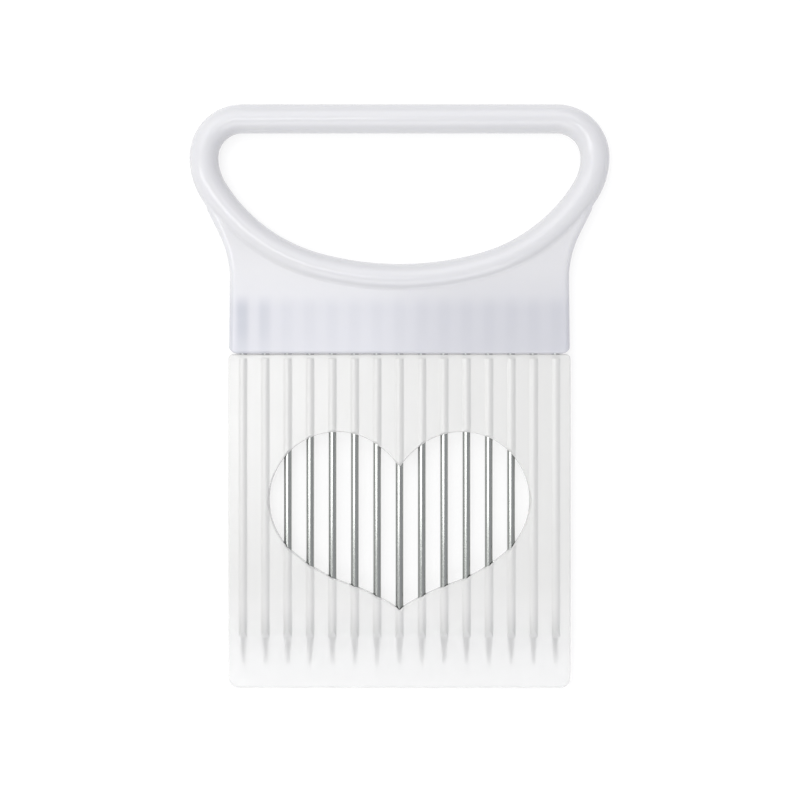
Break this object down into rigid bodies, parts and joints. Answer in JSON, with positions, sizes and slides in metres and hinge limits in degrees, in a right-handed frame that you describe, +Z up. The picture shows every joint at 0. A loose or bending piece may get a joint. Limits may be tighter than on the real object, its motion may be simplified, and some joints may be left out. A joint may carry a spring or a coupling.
{
  "type": "pronged vegetable and egg slicing holder",
  "caption": "Comb of pointed steel tines moulded into a plastic finger-loop handle, with a push-on ribbed sheath that has a heart-shaped window. Holds eggs or vegetables and guides the knife.",
  "frame": {"origin": "on the table plane under the middle of the tool, sheath on, lying flat", "axes": "+X across the tool, +Y from the sheath's foot to the finger loop, +Z up through the tool's thickness"},
  "size_m": [0.08, 0.111, 0.0055],
  "materials": {
    "handle_plastic": "milky white, polished",
    "sheath_plastic": "frosted, translucent",
    "tine_steel": "drawn stainless wire, ground points"
  },
  "bodies": {
    "comb": {"handle": "handle_plastic", "tine_01": "tine_steel", "tine_02": "tine_steel", "tine_03": "tine_steel", "tine_04": "tine_steel", "tine_05": "tine_steel", "tine_06": "tine_steel", "tine_07": "tine_steel", "tine_08": "tine_steel", "tine_09": "tine_steel", "tine_10": "tine_steel", "tine_11": "tine_steel", "tine_12": "tine_steel", "tine_13": "tine_steel", "tine_14": "tine_steel", "tine_15": "tine_steel"},
    "sheath": {"sheath": "sheath_plastic"}
  },
  "joints": [
    {"name": "sheath_slide", "type": "slide", "parent": "comb", "child": "sheath", "axis": [0, -1, 0], "range_m": [0, 0.06]}
  ]
}
